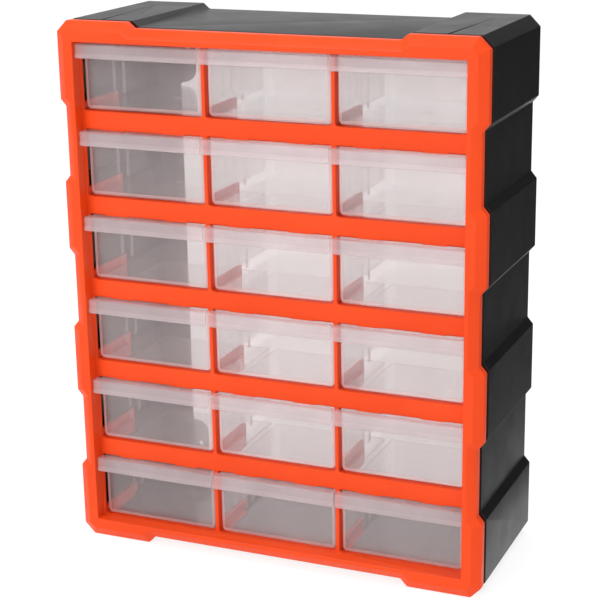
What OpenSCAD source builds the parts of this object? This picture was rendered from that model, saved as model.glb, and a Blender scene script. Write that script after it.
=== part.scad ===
// Parts bin cabinet: a black body shell, an orange front bezel with its guide rails, and a grid
// of clear drawers that slide out towards the front.
// +Z is up, the front faces -Y, and the origin is at the middle of the underside.
// Millimetres.

/* [Cabinet] */
// Overall width, across the bulges of the sides
cab_w = 380; // [340:1:460]
// Overall height
cab_h = 470; // [420:1:620]
// Overall depth, from the front of the rim to the rear face
cab_d = 152; // [120:1:240]
// Rows of drawers
rows = 6; // [1:1:6]
// Columns of drawers
cols = 3; // [1:1:3]

/* [Outline] */
// How far the recessed bands of the sides stand back from the bulges
side_recess_d = 5; // [1:0.5:8]
// Height of one band of a side, bulge or recess
band_pitch = 65.8; // [50:0.1:75]
// Length, along the side, of the slope between a bulge and a recess
slope_run = 5.9; // [1:0.1:12]
// Width of the level recess in the top and in the underside
end_recess_w = 236; // [120:1:270]
// Depth of the recess in the top
top_recess_d = 5; // [1:0.1:8]
// Depth of the recess in the underside
base_recess_d = 6.4; // [1:0.1:8]
// Width of the chamfer on each corner, seen from the front
chamfer_w = 9.3; // [3:0.1:16]
// Height of the chamfer on each corner
chamfer_h = 9.5; // [3:0.1:16]

/* [Bezel] */
// Depth of the rim that stands in front of the grid
rim_d = 12; // [9:0.5:20]
// Width of the bevel round the rim's front, seen from the front
bevel_w = 8; // [3:0.5:10]
// Depth of the bevel round the rim's front
bevel_d = 5; // [2:0.5:7]
// Width of the rim at each side of the window
stile_w = 16.5; // [15:0.5:24]
// Height of the rim above and below the window
end_rail_h = 17.5; // [16:0.5:26]
// Thickness of the rim's hollow front
rim_wall = 2.5; // [1.5:0.1:3]
// Thickness of the grid, front to back
grid_t = 3; // [2:0.1:5]
// Height of the bars between the rows
bar_h = 15; // [8:0.5:24]
// Depth of the bars and of the inner dividers, from the front of the grid
bar_d = 8; // [4:0.5:12]
// Thickness of the flanges along the upper and the lower edge of the bars
flange_t = 2; // [1.2:0.1:2.5]
// Thickness of the dividers between the columns, and of the guide webs behind them
divider_t = 3; // [2:0.1:6]
// Corner radius of the openings
opening_r = 3; // [1:0.1:6]
// Width of the groove between the bezel and the body
groove_w = 5; // [2:0.1:8]
// Thickness of the skirt that plugs into the body
skirt_t = 2; // [1.2:0.1:2.5]
// Length of the skirt inside the body
skirt_l = 10; // [4:0.5:20]
// Gap between the skirt and the body's walls
skirt_gap = 0.2; // [0.1:0.05:0.5]

/* [Hold-down tabs] */
// Width of each tab on the upper edge of an opening
tab_w = 21.5; // [8:0.5:30]
// Distance between the centres of the two tabs of an opening
tab_spacing = 56.5; // [35:0.5:70]
// How far the tabs hang below the edge
tab_drop = 1.3; // [0.6:0.1:3]
// Depth of the gaps beside the tabs, from the front of the grid
tab_gap_d = 2; // [1:0.1:2]

/* [Guide rails] */
// Length of the upright webs behind the grid
guide_l = 62; // [30:1:75]
// Length of the ledges behind the grid
ledge_l = 50; // [30:1:75]
// Width of the ledge at each side of an opening
ledge_w = 5; // [4:0.5:14]
// Thickness of the ledges
ledge_t = 2; // [1.5:0.1:4]
// Height of the webs above the ledges
web_rise = 7.5; // [4:0.5:20]

/* [Body shell] */
// Thickness of the sides, top and base
body_wall = 3; // [2:0.1:4]
// Thickness of the rear frame
rear_wall = 3; // [2:0.1:6]
// Width of the rear frame at each side
rear_side_w = 40; // [24:1:60]
// Height of the rear frame at the top and at the base
rear_end_h = 20; // [12:1:40]
// Width of the ears in the corners of the rear frame
ear_w = 16; // [8:1:30]
// Height of the upper ears
top_ear_h = 53; // [30:1:80]
// Height of the lower ears
base_ear_h = 44; // [30:1:80]
// Corner radius of the rear opening; the ears' free corners take up the rest of their width
rear_r = 3.5; // [2:0.5:7]
// Diameter of the wall screw holes in the ears
screw_d = 5; // [3:0.1:7]
// Distance from the top or the base to the screw holes
screw_end = 40; // [26:1:46]

/* [Top grooves] */
// Distance from the sides to the front ends of the two grooves in the top
top_groove_in = 37; // [20:1:50]
// Depth of the grooves at the front, from which they run out towards the rear
top_groove_d = 1.6; // [0.5:0.1:2]
// Length of the grooves
top_groove_l = 110; // [40:1:125]
// Angle by which each groove draws away from the middle, in degrees
top_groove_splay = 3; // [0:0.5:6]

/* [Drawers] */
// Gap between a drawer and the guide web at each side
drawer_side_gap = 1.2; // [0.5:0.1:4]
// Height of a drawer's floor above the lower edge of its opening
drawer_lift = 0.9; // [0.5:0.1:2]
// Gap between a drawer's floor and the ledges
ledge_gap = 0.4; // [0.3:0.1:0.8]
// Gap between a drawer's rim and the hold-down tabs
rim_gap = 0.5; // [0.3:0.1:2]
// How far a drawer's front wall stands behind the front of the grid
front_set = 3; // [0:0.5:6]
// Gap between a drawer and the rear frame
drawer_rear_gap = 8; // [1:0.5:20]
// Thickness of a drawer's walls
drawer_wall = 1.8; // [1:0.1:3]
// Thickness of a drawer's floor
drawer_floor = 2; // [1:0.1:3]
// Radius of the long lower edges of a drawer
drawer_r = 5; // [3.5:0.1:10]
// Distance from a drawer's front face to its first divider slot
first_slot = 46; // [20:1:60]
// Distance from the first divider slot to the second
slot_pitch = 17; // [8:1:40]
// Width of a divider slot
slot_w = 1.6; // [1:0.1:3]
// Width of each rib beside a divider slot
rib_w = 1.2; // [0.8:0.1:2]
// How far the ribs stand out from the side wall
rib_d = 1; // [0.5:0.1:2]
// Distance from the top of the ribs to the drawer's rim
rib_drop = 6; // [1:0.5:20]
// Diameter of the moulding ring on the floor of a drawer
ring_d = 8.5; // [4:0.5:14]
// Width of the moulding ring
ring_w = 1; // [0.6:0.1:2]
// Height of the moulding ring
ring_h = 0.4; // [0.2:0.1:0.8]

/* [Finger lip] */
// How far the lip stands in front of the grid
lip_reach = 8; // [5:0.5:11]
// Height of the lip
lip_h = 12.4; // [8:0.1:24]
// Thickness of the lip and of the flange that carries it
lip_t = 1.8; // [1.2:0.1:3]
// How far the foot of the lip flares forward
lip_flare = 1; // [0:0.1:2]
// Height of the flared foot of the lip
lip_foot_h = 4.5; // [2:0.1:8]
// Corner radius of the lip's lower corners
lip_r = 2.5; // [1:0.1:5]
// Gap between the lip's ends and the sides of the window, and between its flange and the grid
lip_gap = 0.3; // [0.3:0.1:1]
// Gap between the lips of neighbouring drawers
lip_between = 1.6; // [0.6:0.1:3]

/* [Hidden] */
$fn = 32;

// How far cuts and joined solids run past the face they meet
overrun = 1;

// Planes across the depth, front to back
y_front = -cab_d / 2;
y_rear = cab_d / 2;
y_grid = y_front + rim_d;
y_body = y_grid + groove_w;

// The window, its openings and their pitch
window_w = cab_w - 2 * stile_w;
window_h = cab_h - 2 * end_rail_h;
col_pitch = (window_w - 2 * lip_gap + lip_between) / cols;
row_pitch = (window_h + bar_h) / rows;
opening_w = col_pitch - divider_t;
opening_h = row_pitch - bar_h;

// How far the skirt stands inside the outline
skirt_inset = body_wall + skirt_gap;

// One drawer, measured from the middle of its opening's lower front edge
drawer_w = opening_w - 2 * drawer_side_gap;
drawer_l = y_rear - rear_wall - drawer_rear_gap - y_grid - front_set;
drawer_top = opening_h - tab_drop - rim_gap;
lip_w = col_pitch - lip_between;

// The bands of a side: the slopes between them, from the base up
slopes = 6;
function slope_z(k) = cab_h / 2 + (k - (slopes - 1) / 2) * band_pitch;
function band_x(k) = cab_w / 2 - (k % 2 == 0 ? 0 : side_recess_d);

right_side = concat(
    [[cab_w / 2, chamfer_h]],
    [for (k = [0:slopes - 1]) each [[band_x(k), slope_z(k) - slope_run / 2],
                                    [band_x(k + 1), slope_z(k) + slope_run / 2]]],
    [[cab_w / 2, cab_h - chamfer_h]]);
right_top = [[cab_w / 2 - chamfer_w, cab_h],
             [end_recess_w / 2 + slope_run, cab_h],
             [end_recess_w / 2, cab_h - top_recess_d]];
right_base = [[end_recess_w / 2, base_recess_d],
              [end_recess_w / 2 + slope_run, 0],
              [cab_w / 2 - chamfer_w, 0]];
right_half = concat(right_base, right_side, right_top);

// The cabinet's outline seen from the front, anticlockwise, as [x, z]
outline = concat(right_half,
                 [for (i = [len(right_half) - 1:-1:0]) [-right_half[i][0], right_half[i][1]]]);

function drawer_name(row, col) = str("drawer_r", row, "c", col);
// Middle of a column, counted from the left
function col_x(col) = (col - (cols + 1) / 2) * col_pitch;
// Lower edge of a row's openings, counted from the top
function row_z(row) = end_rail_h + (rows - row) * row_pitch;
// Middle of an upright line of the grid: 0 is left of the first column, cols right of the last
function line_x(line) = (line - cols / 2) * col_pitch;

function outward(a, b) = [b[1] - a[1], a[0] - b[0]] / norm(b - a);
// An anticlockwise outline moved inwards by the same distance all round, its corners kept sharp
function inset(points, distance) =
    let (count = len(points))
    [for (i = [0:count - 1])
        let (here = points[i],
             n1 = outward(points[(i + count - 1) % count], here),
             n2 = outward(here, points[(i + 1) % count]))
        here - (n1 + n2) * distance / (1 + n1 * n2)];

// A flat shape drawn as [x, z], made solid between two planes across the depth
module between(y0, y1) {
    translate([0, y1, 0]) rotate([90, 0, 0]) linear_extrude(y1 - y0) children();
}

// A rectangle from a lower left corner, with round corners
module rounded_rect(corner, size, radius) {
    translate(corner) {
        translate([radius, 0]) square([size[0] - 2 * radius, size[1]]);
        translate([0, radius]) square([size[0], size[1] - 2 * radius]);
        for (x = [radius, size[0] - radius], y = [radius, size[1] - radius])
            translate([x, y]) circle(radius);
    }
}

// One opening of the grid, with the two tabs left standing on its upper edge
module opening(row, col) {
    translate([col_x(col), row_z(row)]) difference() {
        rounded_rect([-opening_w / 2, 0], [opening_w, opening_h], opening_r);
        for (side = [-1, 1])
            translate([side * tab_spacing / 2 - tab_w / 2, opening_h - tab_drop])
                square([tab_w, tab_drop + overrun]);
    }
}

// The window inside the rim, made larger all round by grow
module window(grow = 0) {
    translate([-window_w / 2 - grow, end_rail_h - grow])
        square([window_w + 2 * grow, window_h + 2 * grow]);
}

// The bevel round the rim: a ring carried round the outline, its section a slope with a square back
module bevel() {
    back = y_front + bevel_d;
    rings = [[bevel_w, y_front], [0, back], [bevel_w + overrun, back], [bevel_w + overrun, y_front]];
    count = len(outline);
    polyhedron(
        points = [for (ring = rings) for (p = inset(outline, ring[0])) [p[0], ring[1], p[1]]],
        faces = [for (k = [0:len(rings) - 1], i = [0:count - 1], half = [0, 1])
            let (a = k * count + i,
                 b = k * count + (i + 1) % count,
                 c = (k + 1) % len(rings) * count + (i + 1) % count,
                 d = (k + 1) % len(rings) * count + i)
            half == 0 ? [a, b, c] : [a, c, d]]);
}

module rim() {
    bevel();
    between(y_front, y_grid) polygon(inset(outline, bevel_w));
    between(y_front + bevel_d, y_grid) polygon(outline);
}

// The hollow behind the rim's front, open to the rear
module rim_hollow() {
    between(y_front + rim_wall, y_grid + grid_t + overrun) difference() {
        polygon(inset(outline, skirt_inset + skirt_t));
        window(divider_t);
    }
}

module grid() {
    between(y_grid - overrun, y_grid + grid_t) difference() {
        polygon(inset(outline, skirt_inset));
        for (row = [1:rows], col = [1:cols]) opening(row, col);
    }
}

// Behind the grid: a flange along the lower and the upper edge of every opening, down to the
// tabs' level, and the rear of the inner dividers
module bar_flanges() {
    between(y_grid + tab_gap_d, y_grid + bar_d) {
        for (row = [1:rows]) {
            translate([line_x(0), row_z(row) - flange_t]) square([cols * col_pitch, flange_t]);
            translate([line_x(0), row_z(row) + opening_h - tab_drop])
                square([cols * col_pitch, tab_drop + flange_t]);
        }
        for (line = [1:1:cols - 1])
            translate([line_x(line) - divider_t / 2, end_rail_h]) square([divider_t, window_h]);
    }
}

module skirt() {
    between(y_grid - overrun, y_body + skirt_l) difference() {
        polygon(inset(outline, skirt_inset));
        polygon(inset(outline, skirt_inset + skirt_t));
    }
}

module guide_rails() {
    // Upright webs: behind the whole bar above the lowest row, and from the ledge down there
    for (row = [1:rows], line = [0:cols]) {
        web_drop = row == rows ? ledge_t : bar_h;
        translate([line_x(line) - divider_t / 2, y_grid, row_z(row) - web_drop])
            cube([divider_t, guide_l, web_drop + web_rise]);
    }
    // Ledges: one at each side of every opening, rooted in the web beside it
    ledge_top = drawer_lift - ledge_gap;
    for (row = [1:rows], col = [1:cols], side = [-1, 1]) {
        ledge_mid = col_x(col) + side * (opening_w + overrun - ledge_w) / 2;
        translate([ledge_mid - (ledge_w + overrun) / 2, y_grid, row_z(row) + ledge_top - ledge_t])
            cube([ledge_w + overrun, ledge_l, ledge_t]);
    }
}

module front_bezel() {
    color("orangered") difference() {
        union() {
            rim();
            grid();
            bar_flanges();
            skirt();
            guide_rails();
        }
        between(y_front - overrun, y_grid) window();
        rim_hollow();
    }
}

// The hole in the rear frame: a rectangle with an ear of the frame left in each corner
module rear_opening() {
    half_w = cab_w / 2 - rear_side_w;
    low = rear_end_h;
    high = cab_h - rear_end_h;
    rounded_rect([-half_w, low + base_ear_h],
                 [2 * half_w, high - low - base_ear_h - top_ear_h], rear_r);
    rounded_rect([-half_w + ear_w, low], [2 * (half_w - ear_w), high - low], rear_r);
    // Round the free corner of each ear
    ear_r = ear_w - rear_r;
    for (side = [-1, 1], end = [[low + base_ear_h, 1], [high - top_ear_h, -1]])
        translate([side * (half_w - ear_w), end[0]]) flipped(side, end[1]) difference() {
            translate([-overrun, -ear_r]) square([ear_r + overrun, ear_r + overrun]);
            translate([ear_r, -ear_r]) circle(ear_r);
        }
}

// Turn a shape over left to right, top to bottom, or both
module flipped(x_sign, y_sign) {
    mirror([x_sign < 0 ? 1 : 0, 0]) mirror([0, y_sign < 0 ? 1 : 0]) children();
}

// The V-shaped grooves in the two lands of the top: each a square bar laid on its edge
module top_grooves() {
    bar = 2 * top_groove_d;
    rise = atan(top_groove_d / top_groove_l);
    for (side = [-1, 1])
        translate([side * (cab_w / 2 - top_groove_in), y_body, cab_h - top_groove_d])
            rotate([rise, 0, -side * top_groove_splay]) rotate([0, -45, 0])
                translate([0, -overrun, 0]) cube([bar, top_groove_l + 2 * overrun, bar]);
}

module body_shell() {
    color("dimgray") difference() {
        between(y_body, y_rear) polygon(outline);
        top_grooves();
        between(y_body - overrun, y_rear - rear_wall) polygon(inset(outline, body_wall));
        between(y_rear - rear_wall - overrun, y_rear + overrun) rear_opening();
        for (side = [-1, 1], z = [screw_end, cab_h - screw_end])
            translate([side * (cab_w / 2 - rear_side_w - ear_w / 2), y_rear + overrun, z])
                rotate([90, 0, 0]) cylinder(h = rear_wall + 2 * overrun, d = screw_d);
    }
}

// A drawer's cross-section: square above, with round lower edges
module tub(width, low, high, radius) {
    translate([-width / 2, low + radius]) square([width, high - low - radius]);
    translate([-width / 2 + radius, low]) square([width - 2 * radius, radius + overrun]);
    for (side = [-1, 1])
        translate([side * (width / 2 - radius), low + radius]) circle(radius);
}

module drawer_box() {
    difference() {
        between(front_set, front_set + drawer_l) tub(drawer_w, drawer_lift, drawer_top, drawer_r);
        between(front_set + drawer_wall, front_set + drawer_l - drawer_wall)
            tub(drawer_w - 2 * drawer_wall, drawer_lift + drawer_floor, drawer_top + overrun,
                drawer_r - drawer_wall);
    }
}

// Pairs of ribs on both side walls, with a slot for a divider plate between the two of a pair
module divider_slots() {
    rib_x = drawer_w / 2 - drawer_wall - rib_d;
    for (place = [first_slot, first_slot + slot_pitch], pair = [-1, 1], side = [0, 1])
        mirror([side, 0, 0])
            translate([rib_x, front_set + place + pair * (slot_w + rib_w) / 2 - rib_w / 2, drawer_r])
                cube([rib_d + drawer_wall / 2, rib_w, drawer_top - rib_drop - drawer_r]);
}

// The ring that the mould leaves in the middle of a drawer's floor
module moulding_ring() {
    translate([0, front_set + drawer_l / 2, drawer_lift + drawer_floor / 2]) difference() {
        cylinder(h = drawer_floor / 2 + ring_h, d = ring_d);
        translate([0, 0, drawer_floor / 2])
            cylinder(h = ring_h + overrun, d = ring_d - 2 * ring_w);
    }
}

// The finger lip, drawn as [y, z]: a flange forward from the rim, and a lip down from it
module finger_lip() {
    foot = drawer_top - lip_h;
    intersection() {
        translate([-lip_w / 2, 0, 0]) rotate([90, 0, 90]) linear_extrude(lip_w)
            polygon([[-lip_gap, drawer_top], [-lip_reach, drawer_top],
                     [-lip_reach, foot + lip_foot_h], [-lip_reach - lip_flare, foot],
                     [-lip_reach - lip_flare + lip_t, foot], [-lip_reach + lip_t, foot + lip_foot_h],
                     [-lip_reach + lip_t, drawer_top - lip_t], [-lip_gap, drawer_top - lip_t]]);
        between(-lip_reach - lip_flare - overrun, 0) tub(lip_w, foot, drawer_top, lip_r);
    }
    translate([-drawer_w / 2, -lip_gap - overrun, drawer_top - lip_t])
        cube([drawer_w, lip_gap + overrun + front_set + drawer_wall / 2, lip_t]);
}

module drawer(row, col) {
    color([0.88, 0.86, 0.86]) translate([col_x(col), y_grid, row_z(row)]) {
        drawer_box();
        divider_slots();
        moulding_ring();
        finger_lip();
    }
}

body_shell();
front_bezel();
for (row = [1:rows]) for (col = [1:cols])
    drawer(row, col);
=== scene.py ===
# %% [markdown]
# # A parts bin cabinet, dressed for its portrait
#
# The cabinet is one black shell, one orange bezel and eighteen clear drawers. The engineering
# model already holds their real sizes and the way the drawers slide. This script rounds their
# edges, gives every surface its finish, and sets the light and the camera.

# %% Load the frame
import math

import bmesh
import bpy
import numpy as np
from mathutils import Euler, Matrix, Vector


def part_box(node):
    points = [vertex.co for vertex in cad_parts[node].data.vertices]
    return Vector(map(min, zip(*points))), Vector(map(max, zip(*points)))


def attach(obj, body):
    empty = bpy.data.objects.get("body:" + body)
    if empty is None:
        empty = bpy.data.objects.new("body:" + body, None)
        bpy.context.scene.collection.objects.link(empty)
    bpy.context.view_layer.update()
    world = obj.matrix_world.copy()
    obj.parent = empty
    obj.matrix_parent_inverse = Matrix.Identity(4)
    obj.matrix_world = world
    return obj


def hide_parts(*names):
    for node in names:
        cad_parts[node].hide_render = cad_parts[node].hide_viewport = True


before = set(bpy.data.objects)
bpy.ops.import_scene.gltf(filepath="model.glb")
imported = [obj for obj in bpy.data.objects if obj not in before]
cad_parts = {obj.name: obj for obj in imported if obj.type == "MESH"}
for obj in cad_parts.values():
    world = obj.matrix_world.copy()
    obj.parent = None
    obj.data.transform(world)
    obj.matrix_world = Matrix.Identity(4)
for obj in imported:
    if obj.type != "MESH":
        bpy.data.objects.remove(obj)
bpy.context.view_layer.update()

mm = 0.001

# %% [markdown]
# ## Camera
#
# A photograph fixes its camera: the slopes of the bars and the shrinking of the far edges leave
# one place from which it can have been taken. The values below were worked out from the corners
# of the real cabinet. A long lens stands well back, a little to the right and above, and a small
# shift of the sensor sets the frame without turning the lens.

# %% Camera
camera_place = (0.5469, -1.2672, 0.6389)
camera_turn_deg = (73.2995, 0.7098, 22.3273)
sensor_width_mm = 36.0
lens_mm = 98.114
frame_shift = (-0.03903, -0.00438)

camera = bpy.data.objects.new("camera", bpy.data.cameras.new("camera"))
bpy.context.scene.collection.objects.link(camera)
camera.location = camera_place
camera.rotation_euler = Euler([math.radians(angle) for angle in camera_turn_deg])
camera.data.sensor_width = sensor_width_mm
camera.data.lens = lens_mm
camera.data.shift_x, camera.data.shift_y = frame_shift
bpy.context.scene.camera = camera
bpy.context.scene.view_settings.view_transform = "Standard"
print("camera with a", round(lens_mm), "mm lens at", camera_place)

# %% [markdown]
# ## Helpers for materials
#
# A plastic is never one flat colour. Each material here starts from the Principled shader, and
# small procedural patterns vary its colour, its roughness and its surface. Patterns read Object
# coordinates, so they stay put on the part when it moves, and have a real scale in metres.

# %% Material helpers
def new_material(name):
    """An empty node material with its Principled shader: (material, nodes, links, shader)."""
    material = bpy.data.materials.new(name)
    material.use_nodes = True
    tree = material.node_tree
    shader = tree.nodes["Principled BSDF"]
    return material, tree.nodes, tree.links, shader


def feed(links, socket, value):
    """Give a socket a value, or link another node's output to it."""
    if isinstance(value, bpy.types.NodeSocket):
        links.new(value, socket)
    else:
        socket.default_value = value


def noise(nodes, links, size, detail=3.0):
    """A noise pattern whose blobs are about `size` metres across."""
    place = nodes.new("ShaderNodeTexCoord")
    pattern = nodes.new("ShaderNodeTexNoise")
    pattern.inputs["Scale"].default_value = 1.0 / size
    pattern.inputs["Detail"].default_value = detail
    links.new(place.outputs["Object"], pattern.inputs["Vector"])
    return pattern.outputs["Fac"]


def to_range(nodes, links, value, low, high, start=0.35, end=0.65):
    """The value stretched so that start gives low and end gives high, and held at both ends."""
    node = nodes.new("ShaderNodeMapRange")
    node.inputs["From Min"].default_value = start
    node.inputs["From Max"].default_value = end
    node.inputs["To Min"].default_value = low
    node.inputs["To Max"].default_value = high
    links.new(value, node.inputs["Value"])
    return node.outputs["Result"]


def blend_colours(nodes, links, value, dark, light):
    """A colour between dark and light, as the value runs from 0 to 1."""
    node = nodes.new("ShaderNodeMix")
    node.data_type = "RGBA"
    feed(links, node.inputs["A"], dark)
    feed(links, node.inputs["B"], light)
    links.new(value, node.inputs["Factor"])
    return node.outputs["Result"]


def bump(nodes, links, shader, height, depth):
    """The height pattern pressed into the surface, `depth` metres deep."""
    node = nodes.new("ShaderNodeBump")
    node.inputs["Distance"].default_value = depth
    links.new(height, node.inputs["Height"])
    links.new(node.outputs["Normal"], shader.inputs["Normal"])


print("material helpers ready")

# %% [markdown]
# ## The coloured plastics
#
# The bezel is a satin orange and the shell is a black with a fine moulded grain. Orange plastic
# is deep in colour: nearly all the red light comes back and hardly any blue. Too much gloss lays
# white over it and turns it pink, so its specular level is lowered. The guide rails behind the grid
# are thin, and light that comes through them would make them paler than the front. Here that light
# is painted into their colour as a paler orange.

# %% Orange and black
# The front of the grid, the back of its face, and the back of its bars
grid_y = -64.0 * mm
rails_start, rails_full = grid_y + 3.0 * mm, grid_y + 8.0 * mm
orange_deep, orange_light = (0.74, 0.054, 0.004, 1.0), (0.80, 0.062, 0.006, 1.0)
# The rails' paler orange is painted light, standing in for light scattered through the thin rails
orange_rails_painted_light = (0.97, 0.075, 0.02, 1.0)
black_deep, black_light = (0.0055, 0.0055, 0.006, 1.0), (0.0075, 0.0075, 0.008, 1.0)


def painted_rail_light_mask(nodes, links):
    """Where the rails' painted light goes: 0 up to the back of the grid's face, and 1 from the back
    of its bars on.
    """
    place = nodes.new("ShaderNodeTexCoord")
    parts = nodes.new("ShaderNodeSeparateXYZ")
    links.new(place.outputs["Object"], parts.inputs["Vector"])
    return to_range(nodes, links, parts.outputs["Y"], 0.0, 1.0, rails_start, rails_full)


def orange_plastic():
    """Satin orange: nearly even, with faint flow clouds, a fine grain, a soft gloss, and painted
    light that makes the rails behind the grid paler.
    """
    material, nodes, links, shader = new_material("orange_plastic")
    clouds = to_range(nodes, links, noise(nodes, links, 0.09), 0.0, 1.0)
    front = blend_colours(nodes, links, clouds, orange_deep, orange_light)
    # Behind the grid the colour turns to the rails' paler orange, which is painted light
    colour = blend_colours(nodes, links, painted_rail_light_mask(nodes, links), front, orange_rails_painted_light)
    links.new(colour, shader.inputs["Base Color"])
    rough = to_range(nodes, links, noise(nodes, links, 0.02), 0.36, 0.46)
    links.new(rough, shader.inputs["Roughness"])
    shader.inputs["Specular IOR Level"].default_value = 0.22
    bump(nodes, links, shader, noise(nodes, links, 0.0009, 2.0), 0.00002)
    return material


def black_plastic():
    """Black with a matte moulded grain, a little greyer where it has been handled."""
    material, nodes, links, shader = new_material("black_plastic")
    clouds = to_range(nodes, links, noise(nodes, links, 0.07), 0.0, 1.0)
    colour = blend_colours(nodes, links, clouds, black_deep, black_light)
    links.new(colour, shader.inputs["Base Color"])
    rough = to_range(nodes, links, noise(nodes, links, 0.03), 0.36, 0.42)
    links.new(rough, shader.inputs["Roughness"])
    bump(nodes, links, shader, noise(nodes, links, 0.0008, 2.0), 0.00003)
    return material


orange = orange_plastic()
black = black_plastic()
print("made", orange.name, "and", black.name)

# %% [markdown]
# ## The clear plastic
#
# The drawers are clear with a milky haze. A ray that meets such a wall goes straight on, apart
# from a share that the haze catches. The haze's brightness isn't paint: it glows with the light in
# front of it and with the light behind it, so a drawer looks paler where daylight comes in through
# the open back. Three shaders are mixed for that. Transparent passes the ray, Principled shows the
# light in front, and Translucent the light behind. Each wall has an outer and an inner face, and
# each takes its share. The plain walls, the rounded edges, the ribs, and the frosted finger lip
# differ in their share and their colour. The haze's own colour is a pale milk. Its pink tint is
# painted orange light from the bezel, the edges' stronger pink is a painted glow, and the ribs'
# paler tone is painted light. Over it lies a gloss that grows as the look gets flatter, by
# Schlick's formula: it makes the side walls mirror the bright inside of their drawer.
#
# A renderer follows a ray through a small number of Transparent faces only, eight in this one, and
# then shows black. A look across two drawers meets more. Refraction shaders are counted apart, and
# one with an IOR of 1 doesn't bend the ray either, so everything behind the front wall has that in
# place of Transparent. The front wall and the edges stay Transparent, because only that lets the
# light of a lamp straight through.

# %% Clear
def mixed_shaders(nodes, links, share, first, second):
    """A mix of two shaders, with this share of the second."""
    mix = nodes.new("ShaderNodeMixShader")
    feed(links, mix.inputs["Fac"], share)
    links.new(first, mix.inputs[1])
    links.new(second, mix.inputs[2])
    return mix.outputs["Shader"]


def gloss_share(nodes, links, straight):
    """The share of light that a clear face mirrors: s + (1 - s) * (1 - cos(angle of view))**5.

    The share s is what a straight look meets. The Facing output is 1 - cos(angle of view).
    """
    slant = nodes.new("ShaderNodeLayerWeight")
    slant.inputs["Blend"].default_value = 0.5
    fifth = nodes.new("ShaderNodeMath")
    fifth.operation = "POWER"
    fifth.inputs[1].default_value = 5.0
    links.new(slant.outputs["Facing"], fifth.inputs[0])
    return to_range(nodes, links, fifth.outputs["Value"], straight, 1.0, 0.0, 1.0)


def mirror(nodes):
    """A white mirror, slightly rough."""
    shader = nodes.new("ShaderNodeBsdfPrincipled")
    shader.inputs["Base Color"].default_value = (1.0, 1.0, 1.0, 1.0)
    shader.inputs["Metallic"].default_value = 1.0
    shader.inputs["Roughness"].default_value = 0.12
    return shader.outputs["BSDF"]


def transparent(nodes):
    """Lets a ray go straight on, and lamplight too."""
    return nodes.new("ShaderNodeBsdfTransparent").outputs["BSDF"]


def unbent(nodes):
    """Refraction that bends nothing: it lets a ray go straight on, past the eighth face too."""
    passing = nodes.new("ShaderNodeBsdfRefraction")
    passing.inputs["IOR"].default_value = 1.0
    passing.inputs["Roughness"].default_value = 0.0
    return passing.outputs["BSDF"]


def clear_plastic(name, passing, haze, gloss, tones):
    """Hazy clear plastic: one face catches the share `haze` of a ray and mirrors `gloss` of it."""
    material, nodes, links, shader = new_material(name)
    clouds = to_range(nodes, links, noise(nodes, links, 0.03), 0.0, 1.0)
    colour = blend_colours(nodes, links, clouds, *tones)
    links.new(colour, shader.inputs["Base Color"])
    rough = to_range(nodes, links, noise(nodes, links, 0.012), 0.16, 0.28)
    links.new(rough, shader.inputs["Roughness"])
    bump(nodes, links, shader, noise(nodes, links, 0.006, 1.0), 0.00002)
    behind = nodes.new("ShaderNodeBsdfTranslucent")
    links.new(colour, behind.inputs["Color"])
    front, back = shader.outputs["BSDF"], behind.outputs["BSDF"]
    milk = mixed_shaders(nodes, links, lit_from_behind, front, back)
    hazy = mixed_shaders(nodes, links, haze, passing(nodes), milk)
    glossy = mixed_shaders(nodes, links, gloss_share(nodes, links, gloss), hazy, mirror(nodes))
    links.new(glossy, nodes["Material Output"].inputs["Surface"])
    return material


lit_from_behind = 0.5
# The pale milk of the clear tones is the haze's own colour; their pink tint is painted orange light
# from the bezel
wall_tones_painted_orange_tint = (0.76, 0.65, 0.66, 1.0), (0.82, 0.71, 0.72, 1.0)
# The edges' stronger pink is a painted glow of the light that clear plastic gathers at its edges
edge_tones_painted_glow = (0.93, 0.62, 0.61, 1.0), (0.98, 0.68, 0.66, 1.0)
# The ribs' and the ring's paler tone is painted light, the bright lines their edges bend towards
# the eye
rib_tones_painted_light = (0.92, 0.86, 0.86, 1.0), (0.96, 0.90, 0.90, 1.0)
lip_tones_painted_orange_tint = (0.73, 0.64, 0.66, 1.0), (0.79, 0.70, 0.72, 1.0)

# Name, what lets the ray through, haze, gloss of a straight look, and tones
drawer_finishes = [clear_plastic(*finish) for finish in (
    ("clear_wall", transparent, 0.16, 0.03, wall_tones_painted_orange_tint),
    ("clear_side", unbent, 0.08, 0.0, wall_tones_painted_orange_tint),
    ("clear_rear", unbent, 0.16, 0.03, wall_tones_painted_orange_tint),
    ("clear_edge_painted_glow", transparent, 0.55, 0.03, edge_tones_painted_glow),
    ("clear_rib_painted_light", unbent, 0.26, 0.30, rib_tones_painted_light),
    ("clear_lip", unbent, 0.36, 0.005, lip_tones_painted_orange_tint),
    ("clear_foot", unbent, 0.40, 0.005, lip_tones_painted_orange_tint))]
WALL, SIDE, REAR, EDGE_PAINTED_GLOW, RIB_PAINTED_LIGHT, LIP, FOOT = range(len(drawer_finishes))
print("made", [material.name for material in drawer_finishes])

# %% [markdown]
# ## The shell and the bezel
#
# Their shapes are right as they stand, but no moulded edge is a perfect corner: each has a small
# radius, which catches a thin line of light. The node's mesh is loose triangles, so a copy is
# merged at its shared points, and a Bevel modifier rounds its sharp edges. Each edge carries a
# weight, its share of the full radius. The rim's edges get all of it, and the openings of the
# grid get less, because their thin bars and small steps leave no room for more. The bevel's
# normals are hardened, which keeps the flat faces flat.

# %% Rounded copies
sharp_turn = math.radians(20.0)
merge_distance = 0.002 * mm
edge_radius, grid_share = 0.7 * mm, 0.4


def shell_share(y):
    """Every edge of the shell gets the full radius, wherever it lies."""
    return 1.0


def bezel_share(y):
    """The bezel's edges by their place across the depth: the rim, the grid's front, the rest."""
    if y < grid_y - 0.5 * mm:
        return 1.0
    return grid_share if y < grid_y + 0.2 * mm else 0.0


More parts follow.
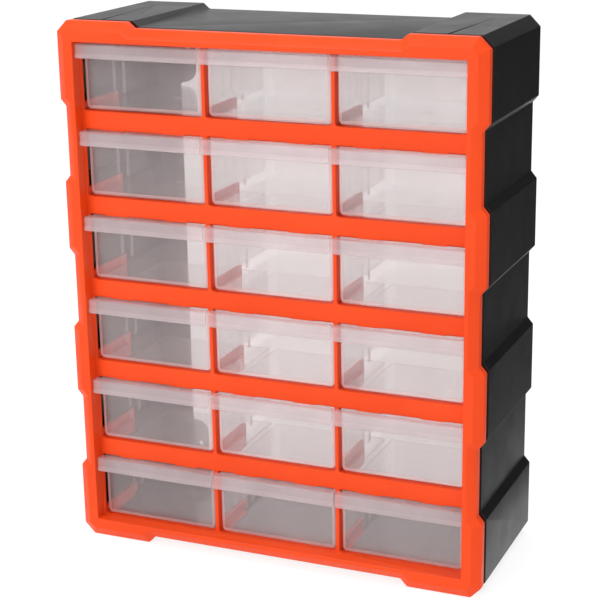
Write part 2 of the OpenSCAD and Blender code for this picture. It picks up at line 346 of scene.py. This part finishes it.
def rounded_copy(node, finish, share):
    """The node's own shape with its sharp edges rounded to their share of the radius."""
    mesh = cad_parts[node].data.copy()
    work = bmesh.new()
    work.from_mesh(mesh)
    bmesh.ops.remove_doubles(work, verts=work.verts, dist=merge_distance)
    weight = work.edges.layers.float.new("bevel_weight_edge")
    for edge in work.edges:
        if edge.calc_face_angle(0.0) > sharp_turn:
            edge[weight] = share((edge.verts[0].co.y + edge.verts[1].co.y) / 2)
    work.to_mesh(mesh)
    work.free()
    mesh.materials.clear()
    mesh.materials.append(finish)
    mesh.shade_smooth()
    mesh.set_sharp_from_angle(angle=sharp_turn)
    piece = bpy.data.objects.new(node + "_rounded", mesh)
    bpy.context.scene.collection.objects.link(piece)
    rounding = piece.modifiers.new("rounding", "BEVEL")
    rounding.width = edge_radius
    rounding.segments = 2
    rounding.limit_method = "WEIGHT"
    rounding.use_clamp_overlap = False
    rounding.harden_normals = True
    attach(piece, "cabinet")
    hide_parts(node)
    return piece


for piece in (rounded_copy("body_shell", black, shell_share),
              rounded_copy("front_bezel", orange, bezel_share)):
    print(piece.name, "has", len(piece.data.polygons), "faces before rounding")

# %% [markdown]
# ## A drawer, from the outside in
#
# A drawer is one skin of horizontal sections. Each section is a rectangle with round corners,
# and each stands a little higher or further in than the last: up the outside, over the rim, and
# down the inside to the floor. The long lower edges have a wide radius and the front and rear
# ones a small radius, so the same height takes a different amount off the width and the depth.

# %% Sections and skins
corner_steps = 5


def stacked(sections, band=0.0):
    """Points of rectangles with round corners, one a row: (rows, points round, 3).

    A section is half width, half depth, corner radius, middle x, middle y and height. A point is
    the middle, plus the half sizes less the radius in its corner's direction, plus the radius
    times the cosine and the sine of an angle that makes a quarter turn in each corner. A band
    adds a point before and one after each corner, that far along the straight sides.
    """
    half_w, half_d, radius, mid_x, mid_y, height = np.array(sections, float).T[:, :, None]
    turn = np.linspace(0.0, np.pi / 2, corner_steps)
    along = np.zeros(corner_steps)
    if band:
        turn, along = np.pad(turn, 1, "edge"), np.pad(along, 1, constant_values=(-band, band))
    angle = (turn + np.arange(4)[:, None] * np.pi / 2).ravel()
    along = np.tile(along, 4)
    sign_x = np.repeat([1, -1, -1, 1], len(turn))
    sign_y = np.repeat([1, 1, -1, -1], len(turn))
    x = mid_x + sign_x * (half_w - radius) + radius * np.cos(angle) - along * np.sin(angle)
    y = mid_y + sign_y * (half_d - radius) + radius * np.sin(angle) + along * np.cos(angle)
    return np.stack(np.broadcast_arrays(x, y, height), axis=2)


def skin(rows, finish):
    """Vertices, faces and finishes of the closed skin over rows of points, capped at both ends.

    The finish is one for all the faces, or one for each: row by row, and then the two caps.
    """
    count, around = rows.shape[:2]
    index = np.arange(count * around).reshape(count, around)
    after = np.roll(index, -1, axis=1)
    quads = np.stack([index[:-1], after[:-1], after[1:], index[1:]], axis=2).reshape(-1, 4)
    faces = quads.tolist() + [index[0, ::-1].tolist(), index[-1].tolist()]
    return rows.reshape(-1, 3), faces, np.resize(finish, len(faces))


def joined(name, skins):
    """One mesh of several skins, with all of the drawer's finishes."""
    starts = np.cumsum([0] + [len(points) for points, _, _ in skins])
    points = np.concatenate([points for points, _, _ in skins])
    faces = [[start + i for i in face]
             for start, (_, its_faces, _) in zip(starts, skins) for face in its_faces]
    mesh = bpy.data.meshes.new(name)
    mesh.from_pydata(points.tolist(), [], faces)
    for material in drawer_finishes:
        mesh.materials.append(material)
    mesh.polygons.foreach_set("material_index", np.concatenate([finish for _, _, finish in skins]))
    return mesh


print("a section has", 4 * corner_steps, "points")

# %% [markdown]
# ## The tray
#
# The frame says where a drawer lies, and the values below repeat the walls and radii of the
# engineering model. A drawer is drawn once, in millimetres, with x from its middle, y from the
# front of the grid, and z from the lower edge of its opening. Round its front wall and along its
# rim it gets the finish of the edges, which is pinker and hazier: a painted glow for the light that
# clear plastic gathers there.

# %% Tray
tray_half_w, tray_front, tray_rear = 55.3, 3.0, 129.0
tray_base, tray_top = 0.9, 58.2
wall_t, floor_t = 1.8, 2.0
long_edge_r, end_edge_r, upright_edge_r, rim_r = 5.0, 2.0, 2.4, 0.5
# Inside, the ends' lower radius is smaller; the last two keep every round corner round
inner_end_r, least_r, least_rim_r = 1.0, 0.3, 0.6
# How far the edges' finish, with its painted glow, runs past a corner along the walls, and above
# the lower radius
edge_band, low_band = 1.0, 0.6
tray_half_d = (tray_rear - tray_front) / 2
tray_mid_y = (tray_rear + tray_front) / 2


def taken_off(distance, radius):
    """How far a round edge has drawn a surface in, at a distance from the face it ends on."""
    left = np.clip(radius - distance, 0.0, radius)
    return radius - np.sqrt(radius**2 - left**2)


def wall_sections(inset, base, top, long_r, end_r, upright_r):
    """One surface of the tray from its flat bottom up, drawn in all round by inset: (rows, 6)."""
    turn = np.linspace(0.0, np.pi / 2, 7)
    rise = np.outer([long_r, end_r], 1 - np.cos(turn))
    rise = np.append(np.unique(rise.round(3)), top - base)
    ends_off = taken_off(rise, end_r)
    return np.stack([tray_half_w - inset - taken_off(rise, long_r),
                     tray_half_d - inset - ends_off,
                     np.maximum(upright_r - ends_off, least_r),
                     0 * rise, 0 * rise + tray_mid_y, base + rise], axis=1)


def rim_sections(insets, heights):
    """Sections that carry the rim from the outer to the inner surface."""
    return np.stack([tray_half_w - insets, tray_half_d - insets,
                     np.maximum(upright_edge_r - insets, least_rim_r),
                     0 * insets, 0 * insets + tray_mid_y, heights], axis=1)


def tray_skin(top):
    """The whole tray: outside upwards, rim, and inside downwards."""
    outer = wall_sections(0.0, tray_base, top - rim_r, long_edge_r, end_edge_r, upright_edge_r)
    inner = wall_sections(wall_t, tray_base + floor_t, top - rim_r,
                          long_edge_r - wall_t, inner_end_r, upright_edge_r - wall_t)
    turn = np.linspace(0.0, np.pi / 2, 4)[1:]
    over = rim_r * (1 - np.cos(turn))
    up = top - rim_r + rim_r * np.sin(turn)
    rim = rim_sections(np.append(over, wall_t - over[::-1]), np.append(up, up[::-1]))
    rows = np.concatenate([outer, rim, inner[::-1]])
    points = stacked(rows, edge_band)
    # A corner and the wall after it make a group: rear, left, front, right. A face belongs to an
    # edge on the rim, in a front corner outside, or low on the front wall outside, and these get
    # the edges' painted glow.
    a_group = corner_steps + 2
    face_row, face_col = np.indices((len(rows) - 1, 4 * a_group))
    group, in_corner = face_col // a_group, face_col % a_group != a_group - 1
    low = rows[:-1, 5][:, None] < tray_base + end_edge_r + low_band
    outside = face_row < len(outer) - 1
    on_rim = (face_row >= len(outer) - 1) & (face_row < len(outer) + len(rim) - 1)
    edge = on_rim | outside & (in_corner & (group >= 2) | (group == 2) & low)
    by_wall = np.array([REAR, SIDE, WALL, SIDE])[group]
    return skin(points, np.append(np.where(edge, EDGE_PAINTED_GLOW, by_wall), [REAR, REAR]))


print("a tray is", 2 * tray_half_w, "mm wide and", 2 * tray_half_d, "mm deep")

# %% [markdown]
# ## The finger lip
#
# The lip is one bent ribbon: forward from the tray's rim, round a bend, down, and out a little at
# its foot. It could be a box with a box under it, but the bend and the round foot are what catch
# the light. Its outline is a path widened to both sides, with a half circle at the free end, and
# the outline is carried across the drawer. Towards each side the foot rises along a quarter
# circle, which rounds the lower corners as they are seen from the front.

# %% Lip
lip_half_w, lip_half_t = 57.2, 0.9
lip_front, lip_foot, lip_knee, lip_flare = -8.0, 45.8, 50.3, 1.0
lip_bend_r, lip_corner_r, lip_end_r = 1.2, 2.5, 0.4
# Where the flange starts: inside the tray's front wall, and just before the grid beside the tray
lip_root, lip_clear = tray_front + wall_t / 2, -0.3
# Width of the jump between the two, and how many faces from the tip count as the foot
step_t, foot_reach = 0.01, 4.5


def ribbon(path, half):
    """The outline of a path widened by half to both sides, with a half circle at its end."""
    along = np.gradient(path, axis=0)
    along /= np.linalg.norm(along, axis=1)[:, None]
    across = np.stack([-along[:, 1], along[:, 0]], axis=1)
    turn = np.linspace(-np.pi / 2, np.pi / 2, 7)[1:-1, None]
    tip = path[-1] + half * (np.cos(turn) * along[-1] + np.sin(turn) * across[-1])
    return np.concatenate([path - half * across, tip, (path + half * across)[::-1]])


def lip_section(x, start, half, foot):
    """The lip cut across at x: its outline as points in space."""
    bend = np.linspace(np.pi / 2, np.pi, 6)
    plate_y = lip_front + lip_half_t
    level = tray_top - lip_half_t
    bend_y = plate_y + lip_bend_r + lip_bend_r * np.cos(bend)
    bend_z = level - lip_bend_r + lip_bend_r * np.sin(bend)
    path = np.stack([np.concatenate([[start], bend_y, [plate_y, plate_y - lip_flare]]),
                     np.concatenate([[level], bend_z, [lip_knee, lip_foot + lip_half_t]])], axis=1)
    outline = ribbon(path, half)
    y, z = outline[:, 0], np.maximum(outline[:, 1], foot)
    return np.stack([np.full_like(y, x), y, z], axis=1)


def lip_skin():
    """The lip from its left end to its right end."""
    turn = np.linspace(0.0, np.pi / 2, 7)
    in_from_end = np.unique(np.append(lip_corner_r * (1 - np.cos(turn)), [0.1, 0.2, 0.4]).round(3))
    step = tray_half_w - upright_edge_r
    left = np.append(in_from_end, [lip_half_w - step, lip_half_w - step + step_t])
    x = np.append(left - lip_half_w, (lip_half_w - left)[::-1])
    from_end = lip_half_w - abs(x)
    start = np.where(abs(x) < step, lip_root, lip_clear)
    half = lip_half_t - taken_off(from_end, lip_end_r)
    foot = lip_foot + taken_off(from_end, lip_corner_r)
    rows = np.array([lip_section(*cut) for cut in zip(x, start, half, foot)])
    # The flared foot is the last stretch of the path, its tip, and the way back
    face_col = np.indices((len(rows) - 1, rows.shape[1]))[1]
    from_tip = abs(face_col - (rows.shape[1] - 2) / 2)
    finish = np.where(from_tip < foot_reach, FOOT, LIP).ravel()
    return skin(rows, np.append(finish, [LIP, LIP]))


print("the lip is", 2 * lip_half_w, "mm wide and", round(tray_top - lip_foot, 1), "mm high")

# %% [markdown]
# ## Ribs and the moulding ring
#
# Two pairs of upright ribs on each side wall hold divider plates, and the mould leaves a ring on
# the floor. Both are stacks of sections like the tray: a rib's section is a small rectangle, and
# a ring's section is a rectangle whose corner radius is half its width, which is a circle.

# %% Ribs and ring
slot_places, slot_w = (46.0, 63.0), 1.6
rib_t, rib_out, rib_base, rib_top, rib_r = 1.2, 1.0, 3.2, 52.2, 0.3
ring_outer, ring_inner, ring_h, ring_r = 4.25, 3.25, 0.4, 0.15


def rib_skin(side, middle_y):
    """One rib, from inside the wall's lower curve up to its rounded top."""
    half_w = (rib_out + wall_t / 2) / 2
    middle_x = side * (tray_half_w - wall_t - rib_out + half_w)
    insets, heights = [0.0, 0.0, 0.1, 0.25], [rib_base, rib_top - rib_r, rib_top - 0.1, rib_top]
    return skin(stacked([[half_w - inset, rib_t / 2 - inset, rib_r, middle_x, middle_y, height]
                         for inset, height in zip(insets, heights)]), RIB_PAINTED_LIGHT)


def ring_skin():
    """The ring: out of the floor, over its round top, and back into the floor."""
    floor_z = tray_base + floor_t
    radii = [ring_outer, ring_outer, ring_outer - ring_r,
             ring_inner + ring_r, ring_inner, ring_inner]
    rises = [-floor_t / 2, ring_h - ring_r, ring_h, ring_h, ring_h - ring_r, -floor_t / 4]
    return skin(stacked([[radius, radius, radius, 0.0, tray_mid_y, floor_z + rise]
                         for radius, rise in zip(radii, rises)]), RIB_PAINTED_LIGHT)


ribs = [rib_skin(side, tray_front + place + pair * (slot_w + rib_t) / 2)
        for side in (-1, 1) for place in slot_places for pair in (-1, 1)]
print(len(ribs), "ribs a drawer")

# %% [markdown]
# ## One drawer, then eighteen
#
# The lip, the ribs and the ring run into the tray. Left as they are, their buried faces would
# show through the clear plastic, so a Boolean union makes one skin of them. The union runs once,
# and each drawer is a copy of its points, moved to where the frame holds that drawer.

# %% Drawers
# The rim ends a hair below the lip, because a union of two level faces isn't clean
rim_below_lip = 0.05
sharp_fold = math.radians(32.0)


def plain_object(name, mesh):
    """An object in the scene that holds the mesh."""
    item = bpy.data.objects.new(name, mesh)
    bpy.context.scene.collection.objects.link(item)
    return item


def united_drawer():
    """The drawer's mesh in millimetres: the tray with its lip, ribs and ring united."""
    tray = plain_object("tray", joined("tray", [tray_skin(tray_top - rim_below_lip)]))
    extras = plain_object("extras", joined("extras", [lip_skin(), ring_skin()] + ribs))
    union = tray.modifiers.new("union", "BOOLEAN")
    union.operation = "UNION"
    union.solver = "EXACT"
    union.object = extras
    view = bpy.context.evaluated_depsgraph_get()
    mesh = bpy.data.meshes.new_from_object(tray.evaluated_get(view))
    bpy.data.objects.remove(tray)
    bpy.data.objects.remove(extras)
    mesh.shade_smooth()
    mesh.set_sharp_from_angle(angle=sharp_fold)
    return mesh


def placed_drawer(node, drawn):
    """The drawn drawer at its node's place: x and top from the node's box, y from its rear."""
    low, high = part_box(node)
    origin = ((low[0] + high[0]) / 2, high[1] - tray_rear * mm, high[2] - tray_top * mm)
    mesh = drawn.copy()
    points = np.empty(3 * len(mesh.vertices), np.float32)
    mesh.vertices.foreach_get("co", points)
    points = points.reshape(-1, 3) * mm + np.array(origin, np.float32)
    mesh.vertices.foreach_set("co", points.ravel())
    mesh.update()
    piece = plain_object(node + "_clear", mesh)
    flat = piece.modifiers.new("flat_faces", "WEIGHTED_NORMAL")
    flat.keep_sharp = True
    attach(piece, node)
    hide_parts(node)
    return piece


drawn = united_drawer()
drawers = [placed_drawer(node, drawn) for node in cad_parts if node.startswith("drawer_")]
print(len(drawers), "drawers of", len(drawn.polygons), "faces")

# %% [markdown]
# ## Studio
#
# The photograph is a product shot on white: soft light from all round, a little more from the
# front and from above. The cabinet stands on a light table, white paper with lamps below it, which
# is why the ground is white everywhere and the shadows are faint. The right side is nearly black
# all the same, because what it mirrors is dark. Cards do that here: a dark grey one lies beside the
# cabinet, and two black ones stand up behind it. Only reflections see them: the camera and the
# shadows don't. The ground behind the cabinet is greyer than the white page round it, so a pale
# grey card lies there, which only looks through the drawers meet.

# %% Studio
def soft_light(name, place, size, watts):
    """A square soft box at place, facing the middle of the cabinet."""
    data = bpy.data.lights.new(name, "AREA")
    data.shape = "SQUARE"
    data.size = size
    data.energy = watts
    light = bpy.data.objects.new(name, data)
    light.location = place
    light.rotation_euler = (middle - Vector(place)).to_track_quat("-Z", "Y").to_euler()
    bpy.context.scene.collection.objects.link(light)


def sheet(name, corner, edge_a, edge_b, material):
    """A flat rectangle from a corner along two edges, facing their cross product."""
    corner, edge_a, edge_b = Vector(corner), Vector(edge_a), Vector(edge_b)
    points = [corner, corner + edge_a, corner + edge_a + edge_b, corner + edge_b]
    mesh = bpy.data.meshes.new(name)
    mesh.from_pydata([tuple(point) for point in points], [], [(0, 1, 2, 3)])
    mesh.materials.append(material)
    item = plain_object(name, mesh)
    return item


def flat_finish(name, tone, glow_tone, glow, roughness=1.0):
    """A matte finish of one tone that glows by itself with another."""
    material, _, _, shader = new_material(name)
    shader.inputs["Base Color"].default_value = (*tone, 1.0)
    shader.inputs["Roughness"].default_value = roughness
    shader.inputs["Emission Color"].default_value = (*glow_tone, 1.0)
    shader.inputs["Emission Strength"].default_value = glow
    return material


middle = Vector((0.0, 0.0, 0.235))
soft_light("key", (-0.7, -2.4, 1.5), 1.6, 38.0)
soft_light("top", (0.0, 0.2, 2.4), 2.0, 30.0)

world = bpy.data.worlds.new("studio")
world.use_nodes = True
daylight = world.node_tree.nodes["Background"]
daylight.inputs["Color"].default_value = (1.0, 1.0, 1.0, 1.0)
daylight.inputs["Strength"].default_value = 0.75
bpy.context.scene.world = world

white, grey = (1.0, 1.0, 1.0), (0.05, 0.05, 0.05)
# The pale card's faint pink tint is painted orange light, the tint the drawers take from the bezel
near_black, pale = (0.01, 0.01, 0.01), (0.58, 0.54, 0.54)
paper = flat_finish("floor_paper", (0.24, 0.24, 0.24), white, 0.82, 0.9)
paper.node_tree.nodes["Principled BSDF"].inputs["Specular IOR Level"].default_value = 0.1
card_grey = flat_finish("card_grey", grey, grey, 0.0)
card_black = flat_finish("card_black", near_black, near_black, 0.0)
card_pale = flat_finish("card_pale", pale, pale, 0.36)

# The cards that lie down are a millimetre above the floor, so that the two don't mix
floor_reach, ground_reach, card_lift = 8.0, 3.0, 0.001
sheet("floor", (-floor_reach, -floor_reach, 0.0),
      (2 * floor_reach, 0, 0), (0, 2 * floor_reach, 0), paper)

card_w, card_l, card_h = 2.4, 3.6, 2.8
near = Vector((0.24, -0.6, card_lift))
to_right, to_rear = Vector((card_w, 0, 0)), Vector((0, card_l, 0))
upright = Vector((0, 0, card_h))
cards = [sheet("card_beside", near, to_right, to_rear, card_grey),
         sheet("card_behind", near + to_rear, to_right, upright, card_black),
         sheet("card_far_right", near + to_right, upright, to_rear, card_black)]
behind = sheet("ground_behind", (-ground_reach, 0.1, card_lift),
               (2 * ground_reach, 0, 0), (0, 2 * ground_reach, 0), card_pale)
for card in cards + [behind]:
    card.visible_camera = False
    card.visible_diffuse = False
    card.visible_shadow = False
    card.visible_transmission = card is behind
    card.visible_glossy = card is not behind
print("studio ready")
